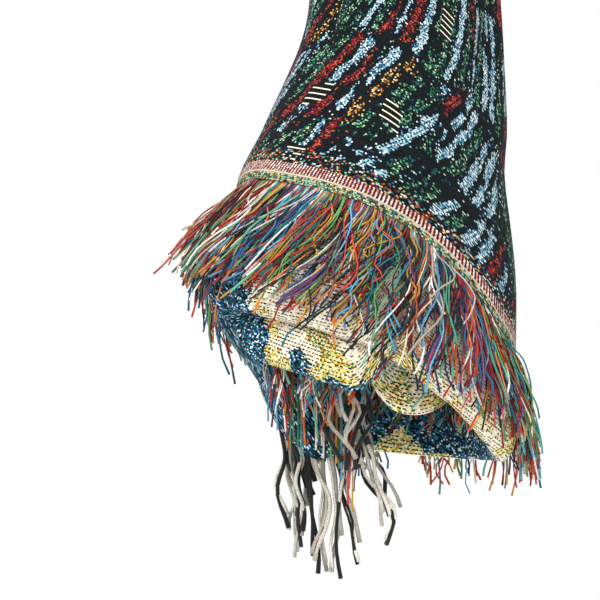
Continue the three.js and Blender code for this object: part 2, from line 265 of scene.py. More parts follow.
def on_roll(angle, depth, set_in):
    """Points of the rolled cloth, at an angle along the roll, a depth and a set-in."""
    around = np.radians(angle)
    turn = (angle - START_ANGLE) / 360
    pleat = read(BUNDLE, "depth", "pleat", depth)
    crest = 1 + pleat * np.cos(PLEATS * around + 0.7 * np.sin(2 * around + 1))
    radius = read(BUNDLE, "depth", "radius", depth) - read(BUNDLE, "depth", "step", depth) * turn
    reach = (radius - set_in) * crest
    x = read(BUNDLE, "depth", "middle", depth) + reach * np.sin(around)
    y = -FRONT_TO_BACK * reach * np.cos(around)
    return np.stack([x, y, -depth + 0 * reach], axis=-1)


def along_roll(angle):
    """Length of cloth from the outer side edge to an angle along the roll."""
    turn = (angle - START_ANGLE) / 360
    last = (END_ANGLE - START_ANGLE) / 360
    return THROW_WIDTH * (92 * turn - 13.5 * turn**2) / (92 * last - 13.5 * last**2)


def through(stations, steps):
    """Smooth rows through the stations of each section, with so many steps between them."""
    before = 2 * stations[:, :1] - stations[:, 1:2]
    after = 2 * stations[:, -1:] - stations[:, -2:-1]
    held = np.hstack([before, stations, after])
    f = np.linspace(0, 1, steps, endpoint=False)
    parts = []
    for i in range(stations.shape[1] - 1):
        a, b, c, d = (held[:, i + k, None] for k in range(4))
        bend = 2 * a - 5 * b + 4 * c - d + f * (3 * b - 3 * c + d - a)
        parts.append(b + f / 2 * (c - a + f * bend))
    return np.hstack(parts + [stations[:, -1:]])


def relief(rows, along, down):
    """Height of the soft creases of a table over places along and down the cloth."""
    height = 0
    for i, rise in enumerate(rows["height"]):
        slant = np.radians(rows["slant"][i])
        x = along - rows["along"][i]
        y = down - rows["down"][i]
        across = x * np.cos(slant) + y * np.sin(slant)
        length = y * np.cos(slant) - x * np.sin(slant)
        fade = (across / rows["width"][i]) ** 2 + (length / rows["length"][i]) ** 2
        height = height + rise * np.exp(-fade)
    return height


def cloth_points(angles):
    """The cloth's middle surface: a column for each angle, from the outer hem to the inner one."""
    angle = angles[:, None]
    hem = read(OUTER_HEM, "angle", "depth", angle)
    places = np.array([section["angle"] for section in LOWER_FOLDS], float)
    drops = np.array([section["drop"] for section in LOWER_FOLDS], float)
    sets = np.array([section["set"] for section in LOWER_FOLDS], float)
    drop = np.hstack([smooth(places, column, angle) for column in drops.T])
    set_in = np.hstack([smooth(places, column, angle) for column in sets.T])
    bend = PLY_GAP / 2
    crown = 1 + bend
    share = np.linspace(1, 0, OUTER_ROWS)
    turn = np.linspace(0, np.pi, TOP_FOLD_ROWS + 2)[1:-1]
    inner_share = np.linspace(0, 1, INNER_ROWS, endpoint=False)
    none = 0 * angle
    mm_along = MM_PER_DEGREE * angle
    outer_depth = crown + (hem - crown) * share
    outer_set = -relief(FACE_CREASES, mm_along, outer_depth)
    inner_depth = crown + (hem + drop[:, :1] - crown) * inner_share
    folds = drop.shape[1] - 1
    station = np.linspace(0, folds * STATION_LENGTH, folds * FOLD_STEPS + 1)
    fold_set = through(set_in, FOLD_STEPS) - relief(ROLL_CREASES, mm_along, station + none)
    depth = np.hstack([outer_depth, crown - bend * np.sin(turn) + none, inner_depth])
    depth = np.hstack([depth, hem + through(drop, FOLD_STEPS)])
    inner_set = PLY_GAP + none + 0 * inner_share
    level = np.hstack([outer_set, bend * (1 - np.cos(turn)) + none, inner_set, fold_set])
    return on_roll(angle + 0 * depth, depth, level)


column_angles = np.concatenate(
    [
        np.linspace(START_ANGLE, OUTER_END, OUTER_COLUMNS, endpoint=False),
        np.linspace(OUTER_END, END_ANGLE, INNER_COLUMNS + 1),
    ]
)
sheet_points = cloth_points(column_angles)
columns, rows_down, _ = sheet_points.shape

# Lean of the warp from the roll's own columns, because the hem hangs askew
WARP_LEAN = table("angle lean", (-115, 0.5), (-60, 0.52), (-20, 0.36), (30, 0.2), (60, 0), (700, 0))
LEAN_LENGTH = 150


def cloth_uv():
    """Places on the flat cloth in metres: along it from the outer side edge, and up from its hem."""
    steps = np.linalg.norm(np.diff(sheet_points, axis=1), axis=2)
    down = np.hstack([np.zeros((columns, 1)), np.cumsum(steps, axis=1)])
    down *= THROW_LENGTH / down[:, -1:]
    lean = read(WARP_LEAN, "angle", "lean", column_angles)[:, None]
    along = along_roll(column_angles)[:, None] - lean * np.minimum(down, LEAN_LENGTH)
    return np.stack([along, down], axis=-1) * MM


def linear(colour):
    """An sRGB hex colour as linear red, green and blue with full opacity."""
    parts = np.array([int(colour[i : i + 2], 16) / 255 for i in (1, 3, 5)])
    low = parts <= 0.04045
    parts = np.where(low, parts / 12.92, ((parts + 0.055) / 1.055) ** 2.4)
    return (*parts, 1)


def node(tree, kind, inputs, **settings):
    """Add a shader node with its settings and with values or links in its inputs."""
    new = tree.nodes.new("ShaderNode" + kind)
    for name, setting in settings.items():
        setattr(new, name, setting)
    for socket, value in inputs.items():
        if isinstance(value, bpy.types.NodeSocket):
            tree.links.new(value, new.inputs[socket])
        else:
            new.inputs[socket].default_value = value
    return new.outputs


def new_material(name):
    """An empty material and its node tree."""
    material = bpy.data.materials.new(name)
    material.use_nodes = True
    material.node_tree.nodes.clear()
    return material, material.node_tree


# Pick and end spacing of the weave. The real ones are finer, and these are as coarse as they
# need to be to show as single dashes
FACE_PICK = (1.2, 0.85)
REVERSE_PICK = (2.9, 2.1)
HEADING_PICK = (1.0, 1.15)
HEADING_WIDTH = 11
HEADING_LINE = (4.4, 5.5)

# The speckled borders in millimetres: on the face between the heading and a line above it, and
# along the side edge, where the warp's lean makes places less than 0, and on the reverse a wide
# one whose edge wanders, and which reaches further in from the headings, partly as painted shade
SPECKLE_END = 19
FACE_BORDER = -18
SPECKLE_DENSITY = 0.42
REVERSE_BORDER = 38
REVERSE_WANDER = 38.0

# The face's blocks and how far their outlines wander, the directions of their slanted bars with
# the part of each bar's pitch that is woven, and where the chances of its four kinds divide
BLOCK_SIZE = 62
BLOCK_WANDER = 22
BAR_LEAN = (0.082, -0.046, 0)
BAR_STEEP = (0.092, -0.012, 0)
BAR_PART = (0.2, 0.78)
BAR_KINDS = (0.5, 0.68, 0.96)

# The chance numbers over which a block holds a group of short lines or a lozenge, the lines'
# half sizes, and the lozenge's ring and the clear ground round it
LINES_CHANCE = 0.7
LOZENGE_CHANCE = 0.88
LINES_REACH = (8.0, 7.5)
LOZENGE_RING = (4.0, 10.5)
LOZENGE_GROUND = 14.0

# Yarn colours of the face's bars, eight for each kind of bar: blue and white, crimson, green and
# teal, and ochre
FACE_YARNS = (
    ["#c9d9dc", "#86b3c2", "#5a8fab", "#2f6288", "#dfe6e2", "#6fa0a3", "#173a5a", "#9fbac2"],
    ["#8a1428", "#651021", "#962a20", "#3f0b19", "#a33c2a", "#731b36", "#b85c28", "#280913"],
    ["#1e5e4a", "#103d3b", "#4d8e69", "#78a082", "#195564", "#b6c79e", "#2a6c40", "#0c2e2c"],
    ["#cb9230", "#deb15a", "#ba772c", "#e8d6a0", "#a05328", "#7c3e22", "#caa049", "#6c5828"],
)

# The same for the reverse: cream, yellow and green, and teal and blue
REVERSE_YARNS = (
    ["#efe6d3", "#e8ddc6", "#f3ecdd", "#ddd0b5", "#ece3ce", "#cbb996", "#f0e7d5", "#d3dac4"],
    ["#d8b03a", "#ecdfa9", "#7ea24a", "#efe3b2", "#2d6a3c", "#e0c463", "#c6882e", "#f0e7d5"],
    ["#134f5f", "#0c2e42", "#4c91b8", "#0b212c", "#1d7481", "#c8dbe2", "#113e63", "#081a22"],
)

# The heading's: cream and pink dots above its light line, and mixed cells below
HEADING_YARNS = (
    ["#e9d5c4", "#d9a9a0", "#efe4d3", "#c98d88", "#e2c7b4", "#b9736f", "#f1e8da", "#cfa795"],
    ["#2f7468", "#8fb59b", "#6c7340", "#dccfae", "#1d5458", "#c49a4a", "#a9c3a8", "#4a2a2c"],
)


def picks(tree, pitch, stagger=0.5):
    """The weave's cells on the flat cloth: their place in millimetres, inside, noise and number."""
    uv = node(tree, "UVMap", {}, uv_map="cloth")["UV"]
    scale = (1 / (pitch[0] * MM), 1 / (pitch[1] * MM), 1)
    grid = node(tree, "VectorMath", {0: uv, 1: scale}, operation="MULTIPLY")["Vector"]
    parts = node(tree, "SeparateXYZ", {0: grid})
    row = node(tree, "Math", {0: parts["Y"]}, operation="FLOOR")[0]
    odd = cycle(tree, row, 2.0)
    x = node(tree, "Math", {0: odd, 1: stagger, 2: parts["X"]}, operation="MULTIPLY_ADD")[0]
    woven = node(tree, "CombineXYZ", {"X": x, "Y": parts["Y"]})[0]
    cell = node(tree, "VectorMath", {0: woven}, operation="FLOOR")["Vector"]
    inside = node(tree, "VectorMath", {0: woven}, operation="FRACTION")["Vector"]
    noise = node(tree, "TexWhiteNoise", {"Vector": cell}, noise_dimensions="2D")["Color"]
    place = node(tree, "VectorMath", {0: cell, 1: (*pitch, 1)}, operation="MULTIPLY")["Vector"]
    return place, inside, node(tree, "SeparateColor", {0: noise}), cell


def yarn_ramp(tree, palettes, which, chance):
    """A colour of one of the palettes: which palette, and a chance number from 0 to 1."""
    place = node(tree, "Math", {0: which, 1: chance}, operation="ADD")[0]
    share = node(tree, "Math", {0: place, 1: 1 / len(palettes)}, operation="MULTIPLY")[0]
    ramp = node(tree, "ValToRGB", {"Fac": share})
    stops = ramp["Color"].node.color_ramp
    stops.interpolation = "CONSTANT"
    colours = [colour for palette in palettes for colour in palette]
    stops.elements.remove(stops.elements[1])
    stops.elements[0].color = linear(colours[0])
    for i, colour in enumerate(colours[1:], 1):
        stops.elements.new(i / len(colours)).color = linear(colour)
    return ramp["Color"]


def dash(tree, inside, width, height):
    """A dash in the middle of a cell, 1 in its middle and 0 past its ends."""
    centred = node(tree, "VectorMath", {0: inside, 1: (0.5, 0.5, 0)}, operation="SUBTRACT")["Vector"]
    scaled = node(
        tree, "VectorMath", {0: centred, 1: (2 / width, 2 / height, 0)}, operation="MULTIPLY"
    )["Vector"]
    far = node(tree, "VectorMath", {0: scaled}, operation="LENGTH")["Value"]
    return node(
        tree,
        "MapRange",
        {"Value": far, "From Min": 1.1, "From Max": 0.75, "To Min": 0.0, "To Max": 1.0},
    )["Result"]


def over(tree, value, limit):
    """1 where a value is over a limit, else 0."""
    return node(tree, "Math", {0: value, 1: limit}, operation="GREATER_THAN")[0]


def under(tree, value, limit):
    """1 where a value is under a limit, else 0."""
    return node(tree, "Math", {0: value, 1: limit}, operation="LESS_THAN")[0]


def rest(tree, value):
    """What a value leaves of 1."""
    return node(tree, "Math", {0: 1.0, 1: value}, operation="SUBTRACT")[0]


def cycle(tree, value, length):
    """A number counted round a cycle of some length."""
    return node(tree, "Math", {0: value, 1: length}, operation="FLOORED_MODULO")[0]


def larger(tree, first, second):
    """The larger of two values."""
    return node(tree, "Math", {0: first, 1: second}, operation="MAXIMUM")[0]


def times(tree, *values):
    """The product of some values."""
    total = values[0]
    for value in values[1:]:
        total = node(tree, "Math", {0: total, 1: value}, operation="MULTIPLY")[0]
    return total


def band(tree, value, low, high):
    """1 where a value lies between two limits, else 0."""
    return times(tree, over(tree, value, low), under(tree, value, high))


def blend(tree, share, first, second, kind="RGBA"):
    """The first colour or number where the share is 0, and the second where it is 1."""
    return node(tree, "Mix", {"Factor": share, "A": first, "B": second}, data_type=kind)["Result"]


def cloth_finish(tree, colour, height):
    """Matt cotton: rough, with the faint sheen of loose fibres and its picks raised."""
    bump = node(tree, "Bump", {"Strength": 0.7, "Distance": 0.0006, "Height": height})["Normal"]
    shader = node(
        tree,
        "BsdfPrincipled",
        {
            "Base Color": colour,
            "Roughness": 0.92,
            "Specular IOR Level": 0.12,
            "Sheen Weight": 0.03,
            "Sheen Roughness": 0.5,
            "Normal": bump,
        },
    )["BSDF"]
    node(tree, "OutputMaterial", {"Surface": shader})


def heading(tree):
    """The heading: 1 on it, distance from the hem, its colour and its relief."""
    place, inside, chances, cell = picks(tree, HEADING_PICK, 0.12)
    up = node(tree, "SeparateXYZ", {0: place})["Y"]
    back = node(tree, "Math", {0: THROW_LENGTH, 1: up}, operation="SUBTRACT")[0]
    near = node(tree, "Math", {0: up, 1: back}, operation="MINIMUM")[0]
    on = under(tree, near, HEADING_WIDTH)
    end = node(tree, "SeparateXYZ", {0: cell})["X"]
    rib = cycle(tree, end, 2.0)
    gap = over(tree, rib, 0.5)
    dot = dash(tree, inside, 1.25, 1.05)
    dots = times(tree, dot, rest(tree, gap))
    below = under(tree, near, HEADING_LINE[0])
    mixed = yarn_ramp(tree, HEADING_YARNS, below, chances["Green"])
    ground = linear("#4a1620")
    ribs = blend(tree, dots, ground, mixed)
    cells = blend(tree, dot, linear("#16211f"), mixed)
    colour = blend(tree, below, ribs, cells)
    line = band(tree, near, *HEADING_LINE)
    colour = blend(tree, line, colour, linear("#c9b8a2"))
    return on, near, colour, dot


def bars(tree, place, block):
    """Slanted bars inside a block: how far across its bar a place is, and the bar's chances."""
    wander = node(tree, "TexNoise", {"Vector": place, "Scale": 0.09, "Detail": 2.0})["Fac"]
    lean = node(tree, "VectorMath", {0: place, 1: BAR_LEAN}, operation="DOT_PRODUCT")["Value"]
    steep = node(tree, "VectorMath", {0: place, 1: BAR_STEEP}, operation="DOT_PRODUCT")["Value"]
    phase = blend(tree, over(tree, block["Red"], 0.72), lean, steep, "FLOAT")
    pace = node(tree, "Math", {0: block["Green"], 1: 0.5, 2: 0.85}, operation="MULTIPLY_ADD")[0]
    phase = times(tree, phase, pace)
    phase = node(tree, "Math", {0: wander, 1: 0.9, 2: phase}, operation="MULTIPLY_ADD")[0]
    within = node(tree, "Math", {0: phase}, operation="FRACT")[0]
    number = node(tree, "Math", {0: phase}, operation="FLOOR")[0]
    key = node(tree, "CombineXYZ", {"X": number, "Y": block["Red"]})[0]
    noise = node(tree, "TexWhiteNoise", {"Vector": key}, noise_dimensions="2D")["Color"]
    return within, node(tree, "SeparateColor", {0: noise})


def woven_face():
    """Tapestry face: near-black, with coloured picks in slanted bars and small figures."""
    material, tree = new_material("tapestry_face")
    place, inside, chances, cell = picks(tree, FACE_PICK)
    wobble = node(tree, "TexNoise", {"Vector": place, "Scale": 0.03, "Detail": 1.0})["Color"]
    shift = {0: wobble, 1: (BLOCK_WANDER, BLOCK_WANDER, 0), 2: place}
    bent = node(tree, "VectorMath", shift, operation="MULTIPLY_ADD")["Vector"]
    cells = {"Vector": bent, "Scale": 1 / BLOCK_SIZE, "Randomness": 0.6}
    blocks = node(tree, "TexVoronoi", cells, voronoi_dimensions="2D")
    edge = node(
        tree, "TexVoronoi", cells, voronoi_dimensions="2D", feature="DISTANCE_TO_EDGE"
    )["Distance"]
    block = node(tree, "SeparateColor", {0: blocks["Color"]})
    within, bar = bars(tree, place, block)
    worn = node(tree, "TexNoise", {"Vector": place, "Scale": 0.06, "Detail": 3.0})["Fac"]

    kind = 0.0
    for share in BAR_KINDS:
        kind = node(tree, "Math", {0: kind, 1: over(tree, bar["Green"], share)})[0]
    fill = node(tree, "Math", {0: kind, 1: -0.2, 2: 1.0}, operation="MULTIPLY_ADD")[0]
    whole = over(tree, worn, 0.39)
    density = times(tree, band(tree, within, *BAR_PART), fill, whole, over(tree, edge, 0.05))

    numbers = node(tree, "SeparateXYZ", {0: cell})
    order = node(tree, "Math", {0: numbers["Y"], 1: 2.0, 2: numbers["X"]}, operation="MULTIPLY_ADD")[0]
    order = cycle(tree, order, 5.0)
    plaid = node(tree, "MapRange", {"Value": order, "From Max": 1.0, "To Min": 0.15})["Result"]
    density = times(tree, density, plaid)
    loose = node(
        tree,
        "MapRange",
        {"Value": worn, "From Min": 0.46, "From Max": 0.72, "To Min": 0.02, "To Max": 0.3},
    )["Result"]
    density = larger(tree, density, loose)

    local = node(
        tree, "VectorMath", {0: bent, 1: blocks["Position"]}, operation="SUBTRACT"
    )["Vector"]
    local = node(tree, "VectorMath", {0: local}, operation="ABSOLUTE")["Vector"]
    lozenge = node(
        tree, "VectorMath", {0: local, 1: (1.0, 0.8, 0)}, operation="DOT_PRODUCT"
    )["Value"]
    with_lozenge = over(tree, block["Blue"], LOZENGE_CHANCE)
    figure = times(tree, with_lozenge, band(tree, lozenge, *LOZENGE_RING))
    yard = times(tree, with_lozenge, under(tree, lozenge, LOZENGE_GROUND))
    sides = node(tree, "SeparateXYZ", {0: local})
    line = cycle(tree, numbers["Y"], 4.0)
    floats = times(
        tree,
        band(tree, block["Blue"], LINES_CHANCE, LOZENGE_CHANCE),
        under(tree, sides["X"], LINES_REACH[0]),
        under(tree, sides["Y"], LINES_REACH[1]),
    )
    lines = times(tree, floats, under(tree, line, 0.5))
    clear = larger(tree, yard, floats)
    density = times(tree, density, rest(tree, clear))
    solid = larger(tree, figure, lines)
    density = larger(tree, density, solid)
    kind = blend(tree, solid, kind, 3.0, "FLOAT")

    on, near, heading_colour, heading_dot = heading(tree)
    along = node(tree, "SeparateXYZ", {0: place})["X"]
    border = under(tree, along, FACE_BORDER)
    border = larger(tree, border, band(tree, near, HEADING_WIDTH, SPECKLE_END))
    density = blend(tree, border, density, SPECKLE_DENSITY, "FLOAT")
    any_kind = times(tree, chances["Blue"], 3.6)
    kind = blend(tree, border, kind, any_kind, "FLOAT")
    kind = node(tree, "Math", {0: kind}, operation="FLOOR")[0]

    shows = under(tree, chances["Red"], density)
    colour = yarn_ramp(tree, FACE_YARNS, kind, chances["Green"])
    colour = blend(tree, lines, colour, linear("#e9dfc4"))
    ground = blend(tree, chances["Blue"], linear("#05090b"), linear("#0f181c"))
    raised = dash(tree, inside, 1.3, 1.15)
    final = blend(tree, times(tree, shows, raised), ground, colour)
    final = blend(tree, on, final, heading_colour)
    cloth_finish(tree, final, blend(tree, on, raised, heading_dot, "FLOAT"))
    return material


def woven_reverse():
    """Tapestry reverse: rows of pale floating weft with the dark warp's ties between them."""
    material, tree = new_material("tapestry_reverse")
    place, inside, chances, _ = picks(tree, REVERSE_PICK)
    zone = node(tree, "TexNoise", {"Vector": place, "Scale": 0.035, "Detail": 3.0})["Fac"]
    on, near, heading_colour, _ = heading(tree)
    along = node(tree, "SeparateXYZ", {0: place})["X"]
    # Partly painted shade: the real teal border reaches further in from the headings than from the
    # side edge, so that near the inner hem its dark speckled teal also stands for the shade inside the
    # roll
    rim = node(tree, "Math", {0: near, 1: 0.62}, operation="MULTIPLY")[0]
    rim = node(tree, "Math", {0: along, 1: rim}, operation="MINIMUM")[0]
    rim = node(tree, "Math", {0: zone, 1: REVERSE_WANDER, 2: rim}, operation="MULTIPLY_ADD")[0]
    teal = under(tree, rim, REVERSE_BORDER)
    patch = node(tree, "Math", {0: near, 1: -0.0035, 2: zone}, operation="MULTIPLY_ADD")[0]
    yellow = over(tree, patch, 0.34)
    _, spot_inside, spot_chances, _ = picks(tree, FACE_PICK)
    colour = yarn_ramp(tree, REVERSE_YARNS, yellow, spot_chances["Green"])
    shows = under(tree, chances["Red"], 0.84)
    sides = node(tree, "SeparateXYZ", {0: inside})
    low = node(tree, "Math", {0: chances["Green"], 1: 0.25, 2: 0.02}, operation="MULTIPLY_ADD")[0]
    high = node(tree, "Math", {0: chances["Blue"], 1: -0.25, 2: 0.98}, operation="MULTIPLY_ADD")[0]
    tie = times(tree, band(tree, sides["X"], low, high), band(tree, sides["Y"], 0.28, 0.7))
    cover = times(tree, shows, tie)
    dark = blend(tree, spot_chances["Blue"], linear("#04080a"), linear("#14282b"))
    fleck = yarn_ramp(tree, FACE_YARNS[1:], times(tree, chances["Green"], 2.99), chances["Blue"])
    dark = blend(tree, over(tree, spot_chances["Red"], 0.74), dark, fleck)
    pale = blend(tree, cover, colour, dark)
    speck = yarn_ramp(tree, REVERSE_YARNS, 2.0, spot_chances["Green"])
    on_speck = under(tree, spot_chances["Red"], 0.72)
    on_speck = times(tree, on_speck, dash(tree, spot_inside, 1.3, 1.15))
    speckled = blend(tree, on_speck, linear("#070f14"), speck)
    final = blend(tree, teal, pale, speckled)
    final = blend(tree, on, final, heading_colour)
    raised = dash(tree, inside, 1.25, 1.25)
    cloth_finish(tree, final, raised)
    return material


def woven_cloth():
    """The sheet as a fine grid laid on its rolled and folded shape, with its thickness."""
    bm = bmesh.new()
    bmesh.ops.create_grid(bm, x_segments=columns - 1, y_segments=rows_down - 1, size=1)
    mesh = bpy.data.meshes.new("cloth_sheet")
    bm.to_mesh(mesh)
    bm.free()
    flat = np.empty(len(mesh.vertices) * 3)
    mesh.vertices.foreach_get("co", flat)
    flat = flat.reshape(-1, 3)
    i = np.rint((flat[:, 0] + 1) / 2 * (columns - 1)).astype(int)
    j = np.rint((flat[:, 1] + 1) / 2 * (rows_down - 1)).astype(int)
    mesh.vertices.foreach_set("co", (sheet_points[i, j] * MM).ravel())
    corner = np.empty(len(mesh.loops), int)
    mesh.loops.foreach_get("vertex_index", corner)
    layer = mesh.uv_layers.new(name="cloth")
    layer.data.foreach_set("uv", cloth_uv()[i[corner], j[corner]].ravel())
    mesh.shade_smooth()
    mesh.update()
    cloth = bpy.data.objects.new("cloth_sheet", mesh)
    bpy.context.scene.collection.objects.link(cloth)
    mesh.materials.append(woven_face())
    mesh.materials.append(woven_reverse())
    wall = cloth.modifiers.new("thickness", "SOLIDIFY")
    wall.thickness = CLOTH_THICKNESS * MM
    wall.offset = 0
    wall.material_offset = 1
    return cloth


cloth = woven_cloth()
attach(cloth, "root")
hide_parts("cloth")


# The outer hem's fringe: the cloth's own coloured warp ends, left about 60 mm long past the
# heading and cut square. They lie over the rolls below in clumps of a few yarns, lean to the left
# at the front and stand away from the roll at its left side, where some hang lower and close to
# the flap.
OUTER_FRINGE = table(
    "angle out drop lean",
    (-115, 26, 40, 4),
    (-92, 34, 30, 12),
    (-72, 27, 42, 24),
    (-56, 21, 44, 34),
    (-34, 17, 48, 35),
    (-12, 17, 54, 28),
    (8, 17, 60, 20),
    (26, 16, 64, 10),
    (42, 14, 64, 3),
    (60, 12, 60, 0),
    (120, 5, 56, 0),
    (240, 2, 55, 0),
    (600, 0, 50, 0),
    (677, 0, 46, 0),
)
FRINGE_SPANS = table(
    "start end spacing",
    (-115, -82, 0.13),
    (-82, -60, 0.2),
    (-60, 100, 0.28),
    (100, 245, 1.2),
    (245, 677, 3.4),
)
YARN_RADIUS = 0.54
HEM_POINTS = 13
CLUMP = 4
FLAP_START = -50
STRAY_SHARE = 0.07

# How often each yarn colour comes in the hem fringes
HEM_YARNS = {
    "#a5121f": 10,
    "#cf3a1c": 8,
    "#e0762a": 9,
    "#d59c2c": 10,
    "#6aa55c": 10,
    "#5cb394": 9,
    "#0f7482": 9,
    "#155a96": 10,
    "#122a4c": 7,
    "#6f4a7c": 3,
    "#5a1222": 6,
    "#e6d5be": 7,
    "#f7f3ec": 7,
    "#0c1012": 10,
    "#cc5249": 5,
    "#62abd0": 6,
}


def spread(spans, rng):
    """Angles of the yarns along the roll, at the spacing that each span has."""
    angles = []
    for start, end, spacing in zip(spans["start"], spans["end"], spans["spacing"]):
        fine = np.linspace(start, end, 400)
        lengths = along_roll(fine)
        count = int((lengths[-1] - lengths[0]) / spacing)
        marks = np.linspace(lengths[0], lengths[-1], count, endpoint=False)
        marks = marks + rng.uniform(-0.4, 0.4, count) * spacing
        angles.append(np.interp(marks, lengths, fine))
    return np.concatenate(angles)


def waves(rng, count, clump, f, size, bends=(0.6, 1.1, 1.7)):
    """Wandering of yarns along their length: most of it shared by a clump, some of their own."""
    groups = count // clump + 1
    shared = np.repeat(np.arange(groups), clump)[:count]
    total = 0
    for share, index, number in ((1, shared, groups), (0.45, np.arange(count), count)):
        for turns in bends:
            height = rng.normal(0, size * share / turns**0.7, number)[index, None]
            phase = rng.uniform(0, 2 * np.pi, number)[index, None]
            pace = rng.uniform(0.75, 1.25, number)[index, None] * turns
            bend = np.sin(2 * np.pi * pace * f + phase) - np.sin(phase)
            total = total + height * bend
    return total * f**0.6


def yarn_colours(rng, yarns, count, clump):
    """Linear colours of the yarns, some of them the same through a clump."""
    names = list(yarns)
    weights = np.array([yarns[name] for name in names], float)
    weights /= weights.sum()
    own = rng.choice(len(names), count, p=weights)
    shared = np.repeat(rng.choice(len(names), count // clump + 1, p=weights), clump)[:count]
    pick = np.where(rng.uniform(size=count) < 0.6, shared, own)
    tone = rng.uniform(0.42, 1.0, (count, 1))
    return np.array([linear(names[i])[:3] for i in pick]) * tone


def yarn_mesh(name, paths, radii, colours, roundness=0):
    """Tubes along the paths, joined in one mesh that holds each yarn's colour."""
    curve = bpy.data.curves.new(name, "CURVE")
    curve.dimensions = "3D"
    curve.bevel_depth = 1
    curve.bevel_resolution = roundness
    count, steps, _ = paths.shape
    for path, radius in zip(paths * MM, radii * MM):
        spline = curve.splines.new("POLY")
        spline.points.add(steps - 1)
        spline.points.foreach_set("co", np.hstack([path, np.ones((steps, 1))]).ravel())
        spline.points.foreach_set("radius", radius)
    scratch = bpy.data.objects.new(name, curve)
    bpy.context.scene.collection.objects.link(scratch)
    graph = bpy.context.evaluated_depsgraph_get()
    mesh = bpy.data.meshes.new_from_object(scratch.evaluated_get(graph))
    bpy.data.objects.remove(scratch)
    bm = bmesh.new()
    bm.from_mesh(mesh)
    bmesh.ops.holes_fill(bm, edges=[edge for edge in bm.edges if edge.is_boundary], sides=8)
    bm.to_mesh(mesh)
    bm.free()
    sides = len(mesh.vertices) // (count * steps)
    attribute = mesh.attributes.new("yarn", "FLOAT_COLOR", "POINT")
    full = np.hstack([np.repeat(colours, steps * sides, axis=0), np.ones((count * steps * sides, 1))])
    attribute.data.foreach_set("color", full.ravel())
    lengths = np.linalg.norm(np.diff(paths, axis=1), axis=2)
    lengths = np.hstack([np.zeros((count, 1)), np.cumsum(lengths, axis=1)])
    far = mesh.attributes.new("along_mm", "FLOAT", "POINT")
    far.data.foreach_set("value", np.repeat(lengths.ravel(), sides))
    mesh.shade_smooth()
    piece = bpy.data.objects.new(name, mesh)
    bpy.context.scene.collection.objects.link(piece)
    return piece


def cotton_yarn():
    """Loose-spun cotton yarn: each strand's own dye, toned by random fuzz and with painted shade in
    bands along it for the grooves between its plies, and matt.
    """
    material, tree = new_material("dyed_cotton_yarn")
    colour = node(tree, "Attribute", {}, attribute_name="yarn")["Color"]
    far = node(tree, "Attribute", {}, attribute_name="along_mm")["Fac"]
    place = node(tree, "TexCoord", {})["Object"]
    fuzz = node(tree, "TexNoise", {"Vector": place, "Scale": 900.0, "Detail": 2.0})["Fac"]
    # Painted shade: faint dark bands along each yarn, a sine of its length, stand for the grooves
    # between its plies. The fuzz noise is random tone, and both also drive the bump
    ply_groove_shade = node(tree, "Math", {0: far, 1: 3.6}, operation="MULTIPLY")[0]
    ply_groove_shade = node(tree, "Math", {0: ply_groove_shade}, operation="SINE")[0]
    mixed = node(tree, "Math", {0: ply_groove_shade, 1: 0.04, 2: fuzz}, operation="MULTIPLY_ADD")[0]
    tone = node(
        tree,
        "MapRange",
        {"Value": mixed, "From Min": 0.3, "From Max": 0.7, "To Min": 0.72, "To Max": 1.12},
    )["Result"]
    shade = node(
        tree, "VectorMath", {0: colour, "Scale": tone}, operation="SCALE"
    )["Vector"]
    bump = node(tree, "Bump", {"Strength": 0.4, "Distance": 0.0003, "Height": mixed})["Normal"]
    shader = node(
        tree,
        "BsdfPrincipled",
        {
            "Base Color": shade,
            "Roughness": 0.8,
            "Specular IOR Level": 0.3,
            "Sheen Weight": 0.1,
            "Normal": bump,
        },
    )["BSDF"]
    node(tree, "OutputMaterial", {"Surface": shader})
    return material


def degrees_for(length, angle, depth):
    """The turn along the roll, in degrees, that covers a length at an angle and a depth."""
    turn = (angle - START_ANGLE) / 360
    radius = read(BUNDLE, "depth", "radius", depth) - read(BUNDLE, "depth", "step", depth) * turn
    return np.degrees(length / np.maximum(radius, 18))


def outer_fringe_paths(rng):
    """Paths of the outer hem's yarns, from the heading's edge to their cut ends."""
    root = spread(FRINGE_SPANS, rng)
    count = len(root)
    angle = root[:, None]
    f = np.linspace(0, 1, HEM_POINTS)[None, :]
    hem = read(OUTER_HEM, "angle", "depth", angle)
    out, drop, lean = (read(OUTER_FRINGE, "angle", name, angle) for name in ("out", "drop", "lean"))
    length = rng.normal(0.97, 0.1, (count, 1)) - 0.3 * (rng.uniform(size=(count, 1)) < 0.3)
    low = np.clip((FLAP_START - angle) / 22, 0, 1) * rng.uniform(0, 1, (count, 1)) ** 0.8
    out = out * (1 - 0.72 * low)
    drop = drop * (1 + 1.15 * low)
    layer = rng.uniform(0, 1, (count, 1))
    puff = layer * 5.5 * np.sin(np.pi * f * 0.75) + 1.0
    stray = rng.normal(0, 13, (count, 1)) * (rng.uniform(size=(count, 1)) < STRAY_SHARE)
    sideways = -lean * length * f * (0.7 + 0.3 * f) + waves(rng, count, CLUMP, f, 3.2) + stray * f
    turned = angle + degrees_for(sideways, angle, hem + 20)
    deep = hem + drop * length * (0.9 * f + 0.1 * f * f) + waves(rng, count, CLUMP, f, 0.8)
    away = -(out * length * (f + f * f) / 2) - puff + waves(rng, count, CLUMP, f, 1.0) * 0.8
    away = np.minimum(away + 15 * low * f**3, 1.0 + 12 * low * f**3)
    return on_roll(turned, deep, away * np.minimum(1, 6 * f))


def tapered(rng, count, steps, radius):
    """Radii of yarns along their length, a little uneven, frayed wider near the cut end."""
    f = np.linspace(0, 1, steps)
    shape = 1 - 0.12 * np.sin(np.pi * f) + 0.18 * np.clip((f - 0.85) / 0.15, 0, 1)
    return rng.uniform(0.82, 1.2, (count, 1)) * shape * radius


